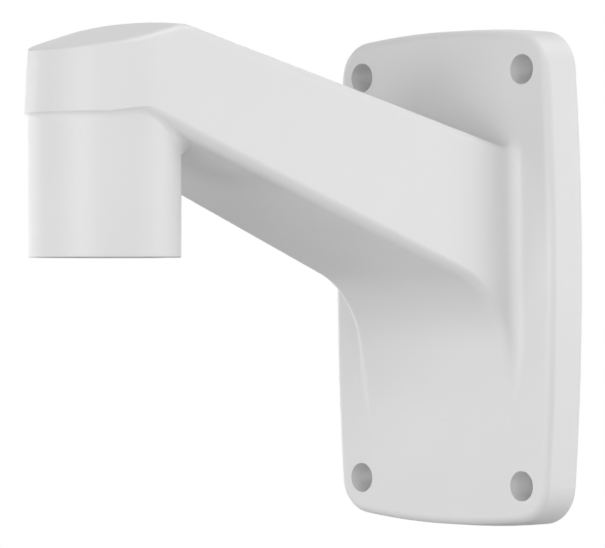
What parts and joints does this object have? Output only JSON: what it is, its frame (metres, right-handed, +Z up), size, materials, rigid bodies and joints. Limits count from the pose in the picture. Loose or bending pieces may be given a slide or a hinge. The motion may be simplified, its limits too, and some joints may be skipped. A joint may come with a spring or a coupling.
{
  "type": "camera wall bracket",
  "caption": "Hollow cast arm that carries a security camera out from a wall: a bowed screw plate, a rising arm with a curved foot, and a spigot pointing down with an inside thread.",
  "frame": {"origin": "centre of the four screw holes, on the plate's back face where it meets the wall", "axes": "-Y points out of the wall along the arm, +X to the right as seen from the room, +Z up; the spigot's axis is upright at X = 0"},
  "size_m": [0.1252, 0.2332, 0.2064],
  "materials": {
    "powder_coat": "satin-matte white powder coat on die-cast aluminium"
  },
  "bodies": {
    "root": {"bracket": "powder_coat"}
  },
  "joints": []
}
